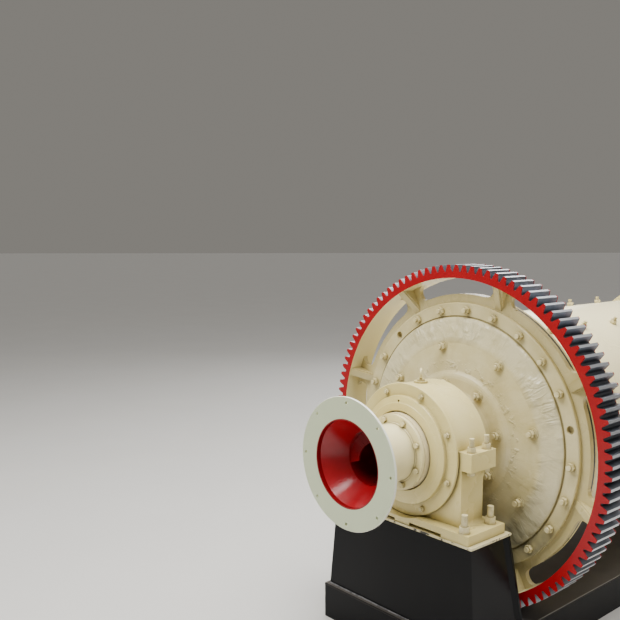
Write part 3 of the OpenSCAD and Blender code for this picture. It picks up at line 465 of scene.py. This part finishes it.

# %% [markdown]
# The outer edge of the deck is painted lighter: wear from boots and slings, together with a painted
# highlight along the edge, so a mask by place finds that edge.  In the narrow creases an occlusion
# mask takes the reflection away as painted shade, which keeps the corners black where a glossy coat
# would light up.

# %% Worn, lit deck edge and shaded creases
WORN_LIT_FROM_SIDE, WORN_LIT_FULL_SIDE = 0.006, 0.003
WORN_LIT_FROM_TOP, WORN_LIT_FULL_TOP = 0.004, 0.002
CREASE_REACH = 0.012
deck_low, deck_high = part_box("base_deck")
sideways = add(black_gloss, "Math", black_gloss["place_x"], operation="ABSOLUTE")
deck_edge = add(black_gloss, "MapRange", sideways, deck_high.x - WORN_LIT_FROM_SIDE,
                deck_high.x - WORN_LIT_FULL_SIDE, 0.0, 1.0)
deck_level = add(black_gloss, "MapRange", black_gloss["place_z"], deck_high.z - WORN_LIT_FROM_TOP,
                 deck_high.z - WORN_LIT_FULL_TOP, 0.0, 1.0)
# Painted highlight with wear: a lighter strip along the deck's outer edge.
worn_lit_edge = add(black_gloss, "Math", deck_edge, deck_level, operation="MULTIPLY")
coat(black_gloss, worn_lit_edge, "#77736C")
# Painted shade: the creases lose their reflection.
crease_shade = add(black_gloss, "AmbientOcclusion", None, CREASE_REACH, give="AO", samples=5)
pour(black_gloss, "Specular IOR Level", add(black_gloss, "MapRange", crease_shade, 0.45, 0.85, 0.0, 0.13))
print("deck top at", round(deck_high.z, 3))

# %% [markdown]
# **Seat plates and weld metal.**  The cream of the bearing was brushed down over the edge of the
# seat plate and ends there in a ragged line, so the plate is cream above and patchy below.  The
# plinths' welds are as laid: grey, rippled and dusty, because their black coat is thin.

# %% Ragged seat plates and weld metal
seat_low, seat_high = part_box("seat_plate_feed")
seat_cream = cream_enamel("cream_enamel_brushed_to_a_ragged_edge", "#E6DDB6", "#DACE9E",
                          roughness=0.38, peel_mm=8, peel_depth=0.0008, drift_mm=90,
                          shade_and_grime=0.5, speck=0.6)
up_or_down = add(seat_cream, "Math", seat_cream["face_z"], operation="ABSOLUTE")
seat_wall = add(seat_cream, "Math", up_or_down, 0.5, operation="LESS_THAN")
brush_skips = add(seat_cream, "TexNoise", seat_cream["point"], 1000 / 40, 6.0, 0.7)
missed = add(seat_cream, "MapRange", brush_skips, 0.52, 0.56, 0.0, 1.0)
coat(seat_cream, add(seat_cream, "Math", seat_wall, missed, operation="MULTIPLY"), "#26241F")

weld_grey = paint_can("weld_metal_under_thin_black_paint", "#3A3A3D")
weld_dust = add(weld_grey, "TexNoise", weld_grey["point"], 1000 / 30, 5.0, 0.7)
coat(weld_grey, add(weld_grey, "MapRange", weld_dust, 0.42, 0.62, 0.0, 1.0), "#8B8B8C")
weld_grey["shader"].inputs["Roughness"].default_value = 0.5
spatter = add(weld_grey, "TexNoise", weld_grey["point"], 1000 / 3, 2.0, 0.5)
pour(weld_grey, "Normal", add(weld_grey, "Bump", 0.6, 0.0004, None, spatter))

# Over the drum's beads the cream coat is duller, and dust lies between the ripples.
weld_cream = cream_enamel("cream_enamel_over_weld_bead", "#DFD4A8", "#CDBF8C",
                          roughness=0.34, peel_mm=5, peel_depth=0.0005, drift_mm=60,
                          shade_and_grime=0.5, speck=0.4)
print("seat top at", round(seat_high.z, 3))

# %% [markdown]
# ** Turned steel and bearing bronze.** The journals run in bronze bushes inside the housings.
# Both were turned on a lathe, which leaves fine rings round the axis.  The collar outside the end
# cover was painted with the rest, and the bore is bare and painted near black, as painted shade deep
# inside the trunnion.  A noise that is stretched hard across the axis gives rings that are never
# quite even, as a lathe's are.

# %% Journal steel and bronze
LATHE_RING_MM = 1.4  # real tool marks are about 0.2 mm, which is too fine to show
COLLAR_STARTS = 1.688
TRUNNION_BORE_R = 0.15


def turned_metal(name, light, dark, roughness):
    can = paint_can(name, light)
    stretched = add(can, "Mapping", can["point"], None, None, (0.006, 1.0, 0.006))
    lathe_rings = add(can, "TexNoise", stretched, 1000 / LATHE_RING_MM, 2.0, 0.5)
    coat(can, lathe_rings, dark)
    pour(can, "Normal", add(can, "Bump", 0.3, 0.0002, None, lathe_rings))
    can["shader"].inputs["Roughness"].default_value = roughness
    return can


journal_steel = turned_metal("forged_steel_turned_and_polished", "#B4B7BA", "#8F9397", 0.28)
bearing_bronze = turned_metal("tin_bronze_turned", "#C79A5C", "#A87B3F", 0.36)
bearing_bronze["shader"].inputs["Metallic"].default_value = 1.0
collar = add(journal_steel, "Math", from_middle(journal_steel), COLLAR_STARTS, operation="GREATER_THAN")
trunnion_bore = add(journal_steel, "Math", from_axis(journal_steel), TRUNNION_BORE_R, operation="LESS_THAN")
coat(journal_steel, collar, "#D9CA9F")
# Painted shade: the bore is near black.
coat(journal_steel, trunnion_bore, "#241F1C")
not_polished = add(journal_steel, "Math", collar, trunnion_bore, operation="MAXIMUM")
pour(journal_steel, "Metallic", add(journal_steel, "Math", 1.0, not_polished, operation="SUBTRACT"))
print("made", journal_steel["material"].name, bearing_bronze["material"].name)

# %% [markdown]
# Each node of the frame now takes its finish.  The node names say what a piece is, so a short
# list of name beginnings is enough.  Only the material slots change; the meshes stay as built.

# %% Give every node its finish
FINISHES = (
    ("base", black_gloss), ("plinth", black_gloss), ("seat", seat_cream),
    ("housing", cast_cream), ("cap_studs", bolt_cream), ("cap", cast_cream),
    ("cover_bolts", bolt_cream), ("cover", cast_cream), ("rear_ring", cast_cream),
    ("hold_bolts", bolt_cream), ("eyes", bolt_cream), ("bush", bearing_bronze),
    ("shell_bolts", bolt_cream), ("shell_flanges", flange_cream), ("shell", plate_cream),
    ("head_bolts", bolt_cream), ("head", head_cream), ("liner_bolts", bolt_cream),
    ("trunnion", journal_steel), ("gear_rim", gear_finish), ("gear_spider", ring_cream),
    ("spout_bolts", bolt_cream), ("spout", spout_cream), ("cone", red_gloss), ("feed_vane", red_gloss),
)
for node_name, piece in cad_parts.items():
    finish = next(can["material"] for start, can in FINISHES if node_name.startswith(start))
    piece.data.materials.clear()
    piece.data.materials.append(finish)
print("finished", len(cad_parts), "nodes")

# %% [markdown]
# **Soft edges.**  No casting or cut plate has a perfect edge: castings come from the mould with a
# radius of a few millimetres and plate is ground before painting.  A bevel gives each edge a
# narrow facet that catches the light.  Flat triangles are merged first, so that the bevel follows
# true edges only, and weighted normals keep the large faces flat.  As modifiers, all three leave
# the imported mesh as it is.

# %% Round the edges of castings and plates
EDGE_MM = {
    "housing": 4.0, "cap_feed": 4.0, "cap_discharge": 4.0, "cover_feed": 2.0, "cover_discharge": 2.0,
    "seat": 1.5, "plinth": 2.0, "base_end": 2.0, "base_rails": 2.0, "gear_spider": 4.0,
    "head_bolts": 1.2, "liner_bolts": 1.2, "cover_bolts": 0.9, "spout_bolts": 0.9,
    "cap_studs": 1.2, "hold_bolts": 1.5, "shell_bolts": 1.2,
}
FLAT_WITHIN = math.radians(0.5)
SHARP_OVER = math.radians(50)
rounded = 0
for node_name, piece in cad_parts.items():
    for start, size_mm in EDGE_MM.items():
        if node_name.startswith(start):
            merge = piece.modifiers.new("merge_flat_triangles", "DECIMATE")
            merge.decimate_type = "DISSOLVE"
            merge.angle_limit = FLAT_WITHIN
            edge = piece.modifiers.new("soft_edge", "BEVEL")
            edge.width = size_mm / 1000
            edge.segments = 2
            edge.limit_method = "ANGLE"
            edge.angle_limit = SHARP_OVER
            edge.miter_outer = "MITER_ARC"
            flatten = piece.modifiers.new("weighted_normals", "WEIGHTED_NORMAL")
            flatten.keep_sharp = True
            rounded += 1
print("rounded", rounded, "nodes")

# %% [markdown]
# **Weld beads.**  Base, plinths, drum and spouts are welded from plate, and each corner carries a
# bead that was laid in short ripples.  A curve with a round bevel would be even all along, so a
# bead is swept as a thin tube whose radius swells and shrinks every few millimetres, as each new
# drop of weld metal freezes over the last one.  Half of the tube is buried in the plates, so only
# the rounded bead is seen.

# %% Sweep weld beads
BEAD_SIDES = 7
TILTED = Vector((0.31, 0.2, 0.93))  # no seam of the mill runs this way, so a cross product works


def weld_bead(mesh, corners, radius, closed=False, step=0.005, ripple=0.009):
    loop = list(corners) + ([corners[0]] if closed else [])
    path = []
    for start, end in zip(loop, loop[1:]):
        count = max(1, round((end - start).length / step))
        path += [start.lerp(end, i / count) for i in range(count)]
    if not closed:
        path.append(loop[-1])
    rings = []
    for i, point in enumerate(path):
        ahead = path[(i + 1) % len(path)] if closed else path[min(i + 1, len(path) - 1)]
        behind = path[i - 1] if closed or i else path[0]
        along = (ahead - behind).normalized()
        side = along.cross(TILTED).normalized()
        up = side.cross(along)
        wave = abs(math.sin(math.pi * i * step / ripple))
        swell = radius * (0.80 + 0.16 * wave + 0.25 * noise.noise(point * 60))
        rings.append([mesh.verts.new(point + swell * (side * math.cos(a) + up * math.sin(a)))
                      for a in [math.tau * k / BEAD_SIDES for k in range(BEAD_SIDES)]])
    pairs = list(zip(rings, rings[1:])) + ([(rings[-1], rings[0])] if closed else [])
    for first, second in pairs:
        for k in range(BEAD_SIDES):
            after = (k + 1) % BEAD_SIDES
            mesh.faces.new((first[k], first[after], second[after], second[k]))
    return sum((b - a).length for a, b in zip(loop, loop[1:]))


print("a bead has", BEAD_SIDES, "sides and a drop of metal every 9 mm")

# %% [markdown]
# Where a plinth's side plate meets the back plate, which stands proud, the weld was ground flush:
# there it is a flat wedge, a row of three-cornered sections whose width wanders a little.  A last
# helper turns any finished mesh into a piece, gives it its paint and says which body carries it.

# %% Lay a flush wedge and place a piece
plinth_low, plinth_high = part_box("plinth_discharge")


def flush_wedge(mesh, foot, top, proud, reach, count=40):
    rows = []
    for i in range(count + 1):
        corner = foot.lerp(top, i / count)
        width = reach * (1 + 0.08 * noise.noise(corner * 25))
        rows.append([mesh.verts.new(corner), mesh.verts.new(corner + proud),
                     mesh.verts.new(corner + Vector((0, width, 0)))])
    for first, second in zip(rows, rows[1:]):
        for k in range(3):
            after = (k + 1) % 3
            mesh.faces.new((first[k], first[after], second[after], second[k]))
    mesh.faces.new(rows[0])
    mesh.faces.new(rows[-1])


def place_piece(mesh, name, can, body, smooth=True):
    bmesh.ops.recalc_face_normals(mesh, faces=mesh.faces)
    data = bpy.data.meshes.new(name)
    mesh.to_mesh(data)
    mesh.free()
    for polygon in data.polygons:
        polygon.use_smooth = smooth
    data.materials.append(can["material"])
    piece = bpy.data.objects.new(name, data)
    bpy.context.scene.collection.objects.link(piece)
    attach(piece, body)


print("a plinth is", round(plinth_high.y - plinth_low.y, 3), "m long at its foot")

# %% [markdown]
# A plinth has a bead along all four sides of its foot and a heavier one up each front corner,
# where the side plate is let in behind the end plate.  At the back corners the step is wedge
# shaped metal, 30 mm wide.

# %% Weld the plinths
PLATE = 0.014
INSET = 0.012
FRONT_IN_FROM_SEAT, BACK_IN_FROM_SEAT = 0.006, 0.298
FOOT_BEAD, CORNER_BEAD = 0.006, 0.0095
WEDGE_SUNK, WEDGE_WIDTH = 0.001, 0.030
TOP_HALF_WIDTH = 0.452
plinth_foot_z, plinth_top_z = deck_high.z, seat_low.z
front_top = abs(seat_low.y + FRONT_IN_FROM_SEAT)
back_top = abs(seat_low.y + BACK_IN_FROM_SEAT)
for side, label in ((-1, "feed"), (1, "discharge")):
    beads, wedges = bmesh.new(), bmesh.new()
    back, front = side * plinth_low.y, side * plinth_high.y
    total = 0.0
    for station in (back, front):
        seam = [Vector((x, station, plinth_foot_z)) for x in (-plinth_high.x, plinth_high.x)]
        total += weld_bead(beads, seam, FOOT_BEAD)
    for hand in (-1, 1):
        x = hand * (plinth_high.x - INSET)
        top_x = hand * (TOP_HALF_WIDTH - INSET)
        back_foot = Vector((x, back + side * PLATE, plinth_foot_z))
        front_foot = Vector((x, front - side * PLATE, plinth_foot_z))
        back_corner = Vector((top_x, side * (back_top + PLATE), plinth_top_z))
        front_corner = Vector((top_x, side * (front_top - PLATE), plinth_top_z))
        total += weld_bead(beads, [back_foot, front_foot], FOOT_BEAD)
        total += weld_bead(beads, [front_foot, front_corner], CORNER_BEAD)
        proud = Vector((hand * (INSET - WEDGE_SUNK), 0, 0))
        flush_wedge(wedges, back_foot, back_corner, proud, side * WEDGE_WIDTH)
    place_piece(beads, "plinth_weld_" + label, weld_grey, "mill_frame")
    place_piece(wedges, "plinth_back_weld_" + label, black_gloss, "mill_frame", smooth=False)
    print("plinth welds", label, round(total, 2), "m")

# %% [markdown]
# The base frame is joined near its four corners and under the deck's edge, and the drum's plate
# meets each flange in a heavy fillet weld.  Thin seams close the spout's tube at its foot flange,
# where the cone begins, and behind the wide flange.  A round seam is the same bead on a hoop.

# %% Base, drum and spout welds
BEAM_WIDTH = 0.12
JOINT_BEAD, DECK_BEAD, DRUM_BEAD = 0.003, 0.0022, 0.009
DRUM_STEP, DRUM_RIPPLE, SPOUT_RIPPLE = 0.006, 0.011, 0.007
FLANGE_PLATE = 0.030
# Radius, station, points round the hoop and bead of each seam on a spout, from its foot outwards.
SPOUT_SEAMS = ((0.1455, 1.7475, 96, 0.0032), (0.1415, 1.918, 96, 0.0022), (0.2150, 2.0455, 128, 0.0034))
joint_foot_z, joint_top_z = 0.004, deck_high.z - 0.012
deck_seam_z = deck_high.z - 0.010


def hoop(radius, station, count=160):
    turns = [math.tau * i / count for i in range(count)]
    return [Vector((radius * math.cos(a), station, AXIS_Z + radius * math.sin(a))) for a in turns]


base_welds = bmesh.new()
for x in (-deck_high.x, deck_high.x):
    for y in (deck_low.y + BEAM_WIDTH, deck_high.y - BEAM_WIDTH):
        weld_bead(base_welds, [Vector((x, y, joint_foot_z)), Vector((x, y, joint_top_z))], JOINT_BEAD)
    seam = [Vector((x, y, deck_seam_z)) for y in (deck_low.y, deck_high.y)]
    weld_bead(base_welds, seam, DECK_BEAD)
for y in (deck_low.y, deck_high.y):
    seam = [Vector((x, y, deck_seam_z)) for x in (-deck_high.x, deck_high.x)]
    weld_bead(base_welds, seam, DECK_BEAD)
place_piece(base_welds, "base_frame_welds", black_gloss, "mill_frame")

drum_weld = bmesh.new()
shell_r = shell_high.z - AXIS_Z
for station in (flange_low.y + FLANGE_PLATE, flange_high.y - FLANGE_PLATE):
    weld_bead(drum_weld, hoop(shell_r + 0.001, station), DRUM_BEAD, closed=True, step=DRUM_STEP,
              ripple=DRUM_RIPPLE)
place_piece(drum_weld, "drum_flange_welds", weld_cream, "drum")

spout_weld = bmesh.new()
for side in (-1, 1):
    for seam_r, station, count, bead in SPOUT_SEAMS:
        weld_bead(spout_weld, hoop(seam_r, side * station, count), bead, closed=True, ripple=SPOUT_RIPPLE)
place_piece(spout_weld, "spout_welds", spout_cream, "drum")
print("shell radius", round(shell_r, 3))

# %% [markdown]
# **Threads.**  The studs and bolts stick out of their nuts, and their threads show through the
# paint.  A bump map would leave the outline smooth, so each thread is real: a helix, swept as a
# low ridge round the rod, one turn per pitch of the standard coarse series, which is 3 mm on a
# 24 mm stud.  The paint has filled the valleys, so the ridges are soft.

# %% Sweep threads on all studs and bolts
# Radius and pitch of each rod.
ROD_16, ROD_20, ROD_24, ROD_30 = (0.008, 0.002), (0.010, 0.0025), (0.012, 0.003), (0.015, 0.0035)
STEPS_A_TURN = 16
# Four lines of the ridge: how far along, in pitches, and how far outside the rod.
RIDGE = ((-0.42, -0.0004), (-0.10, 0.0008), (0.10, 0.0008), (0.42, -0.0004))


def thread(mesh, foot, direction, rod, length):
    radius, pitch = rod
    turns = length / pitch
    side = direction.orthogonal().normalized()
    up = direction.cross(side)
    count = int(turns * STEPS_A_TURN)
    rows = []
    for i in range(count + 1):
        angle = math.tau * i / STEPS_A_TURN
        out = side * math.cos(angle) + up * math.sin(angle)
        middle = foot + direction * (length * i / count)
        rows.append([mesh.verts.new(middle + out * (radius + height) + direction * pitch * place)
                     for place, height in RIDGE])
    for first, second in zip(rows, rows[1:]):
        for k in range(len(RIDGE) - 1):
            mesh.faces.new((first[k], second[k], second[k + 1], first[k + 1]))


def at_clock(angle, radius, station):
    turn = math.radians(angle)
    return Vector((radius * math.cos(turn), station, AXIS_Z + radius * math.sin(turn)))


print("a thread ridge has", STEPS_A_TURN, "steps a turn")

# %% [markdown]
# The bolts stand in rows and circles, as a drawing would give them: angles in degrees from +X,
# circles by their radius, and stations where each thread leaves its nut.  Loops repeat each row
# and circle.  A cap stud shows above its nut and a little of it below the lugs.

# %% Threads on the bearings
CAP_STUD_X, CAP_STUD_STATIONS = 0.3685, (1.5005, 1.6105)
CAP_NUT_TOP, CAP_NUT_BOTTOM = 1.101, 0.966
CAP_THREAD_ABOVE, CAP_THREAD_BELOW = 0.036, 0.004
HOLD_BOLT_X, HOLD_BOLT_STATIONS, HOLD_NUT_TOP, HOLD_THREAD = 0.3895, (1.485, 1.678), 0.745, 0.049
COVER_CIRCLE, COVER_COUNT, COVER_TURN = 0.297, 8, 24
COVER_STATION, COVER_THREAD = 1.6805, 0.0035
UP = Vector((0, 0, 1))
bearing_threads = bmesh.new()
for side in (-1, 1):
    axial = Vector((0, side, 0))
    for x in (-CAP_STUD_X, CAP_STUD_X):
        for y in CAP_STUD_STATIONS:
            above = Vector((x, side * y, CAP_NUT_TOP))
            thread(bearing_threads, above, UP, ROD_24, CAP_THREAD_ABOVE)
            below = Vector((x, side * y, CAP_NUT_BOTTOM))
            thread(bearing_threads, below, -UP, ROD_24, CAP_THREAD_BELOW)
    for x in (-HOLD_BOLT_X, HOLD_BOLT_X):
        for y in HOLD_BOLT_STATIONS:
            above = Vector((x, side * y, HOLD_NUT_TOP))
            thread(bearing_threads, above, UP, ROD_30, HOLD_THREAD)
    for i in range(COVER_COUNT):
        angle = COVER_TURN + 360 / COVER_COUNT * i
        foot = at_clock(angle, COVER_CIRCLE, side * COVER_STATION)
        thread(bearing_threads, foot, axial, ROD_16, COVER_THREAD)
print("bearing threads have", len(bearing_threads.faces), "faces")
place_piece(bearing_threads, "bearing_stud_threads", bolt_cream, "mill_frame")

# %% [markdown]
# On the drum the threads are cut short, because a bolt that turns with the drum must not catch
# anything.  Three places of the head's bolt circle hold jacking holes instead of bolts, and every
# second row of shell bolts is shifted by half a pitch.

# %% Threads on the drum
HEAD_CIRCLE, HEAD_COUNT, HEAD_TURN, HEAD_STATION = 0.662, 24, -2.5, 1.262
LINER_CIRCLES, LINER_COUNT, LINER_TURN = ((0.475, 1.3008), (0.284, 1.328)), 8, 12
AXIAL_THREAD, SHELL_THREAD = 0.0084, 0.016
SHELL_ROWS, SHELL_COLUMNS, SHELL_TURN = 10, 7, 62
SHELL_FIRST, SHELL_PITCH, SHELL_NUT_R = -1.044, 0.320, 0.638
drum_threads = bmesh.new()
for side in (-1, 1):
    axial = Vector((0, side, 0))
    for i in range(HEAD_COUNT):
        jacking_hole = (i - 1) % 8 == 0
        if not jacking_hole:
            foot = at_clock(360 / HEAD_COUNT * i + HEAD_TURN, HEAD_CIRCLE, side * HEAD_STATION)
            thread(drum_threads, foot, axial, ROD_24, AXIAL_THREAD)
    for i in range(LINER_COUNT):
        for circle, station in LINER_CIRCLES:
            foot = at_clock(LINER_TURN + 360 / LINER_COUNT * i, circle, side * station)
            thread(drum_threads, foot, axial, ROD_24, AXIAL_THREAD)
for i in range(SHELL_ROWS):
    angle = SHELL_TURN + 360 / SHELL_ROWS * i
    out = (at_clock(angle, 1.0, 0) - Vector((0, 0, AXIS_Z))).normalized()
    for j in range(SHELL_COLUMNS):
        station = SHELL_FIRST + (j if i % 2 else j + 0.5) * SHELL_PITCH
        thread(drum_threads, at_clock(angle, SHELL_NUT_R, station), out, ROD_20, SHELL_THREAD)
print("drum threads have", len(drum_threads.faces), "faces")
place_piece(drum_threads, "drum_bolt_threads", bolt_cream, "drum")

# %% [markdown]
# The stage is a pale sealed floor.  It is one large square, wide enough that its edge is never in
# the picture.  Concrete under a matt sealer has a blurred reflection that ties the mill to the
# ground, and a noise 900 mm wide keeps it from looking like paper.

# %% Floor
HALF_FLOOR = 300
floor_mesh = bpy.data.meshes.new("studio_floor")
floor_corners = [(x * HALF_FLOOR, y * HALF_FLOOR, 0) for x, y in ((-1, -1), (1, -1), (1, 1), (-1, 1))]
floor_mesh.from_pydata(floor_corners, [], [(0, 1, 2, 3)])
floor = bpy.data.objects.new("studio_floor", floor_mesh)
bpy.context.scene.collection.objects.link(floor)
pale = paint_can("pale_sealed_floor", "#CBC9C5")
coat(pale, add(pale, "TexNoise", pale["point"], 1000 / 900, 6.0, 0.6), "#C3C1BD")
pale["shader"].inputs["Roughness"].default_value = 0.6
floor_mesh.materials.append(pale["material"])
print("floor", 2 * HALF_FLOOR, "m square")

# %% [markdown]
# Large soft panels light the mill, as in a bright hall.  Most light comes from above, so drum and
# barrels get their long highlights and every face that looks down falls into shade; a weak panel
# on the right keeps the side readable.  A panel's light dies away with distance, so a very wide,
# weak sun evens out the floor as far as the horizon.

# %% Lights
def panel(name, place, target, size, power, tint):
    light = bpy.data.lights.new(name, "AREA")
    light.shape = "RECTANGLE"
    light.size, light.size_y = size
    light.energy = power
    light.color = linear(tint)[:3]
    holder = bpy.data.objects.new(name, light)
    holder.location = place
    holder.rotation_euler = (Vector(target) - Vector(place)).to_track_quat("-Z", "Y").to_euler()
    bpy.context.scene.collection.objects.link(holder)


panel("roof_panel", place=(0.1, -0.6, 6.0), target=(0.0, -0.4, 1.0), size=(3.0, 7.0), power=670.0,
      tint="#FFFFFF")
panel("front_roof_panel", place=(-1.9, -5.4, 6.0), target=(0.0, -1.5, 1.0), size=(3.4, 2.4),
      power=400.0, tint="#FFFDF8")
panel("right_panel", place=(6.5, -1.5, 4.2), target=(0.0, -0.5, 1.0), size=(3.0, 3.0), power=80.0,
      tint="#F4F6FF")
panel("back_panel", place=(-5.0, 5.0, 4.5), target=(0.0, 0.5, 1.0), size=(4.0, 3.0), power=160.0,
      tint="#FFFFFF")
wide_sky = bpy.data.lights.new("wide_sky", "SUN")
wide_sky.energy = 0.78
wide_sky.angle = math.radians(100)
sky_holder = bpy.data.objects.new("wide_sky", wide_sky)
sky_holder.rotation_euler = (math.radians(-18), math.radians(-8), 0.0)
bpy.context.scene.collection.objects.link(sky_holder)
world = bpy.data.worlds.new("studio_air")
world.use_nodes = True
air = world.node_tree.nodes["Background"]
air.inputs["Color"].default_value = linear("#F3EEE4")
air.inputs["Strength"].default_value = 0.25
bpy.context.scene.world = world
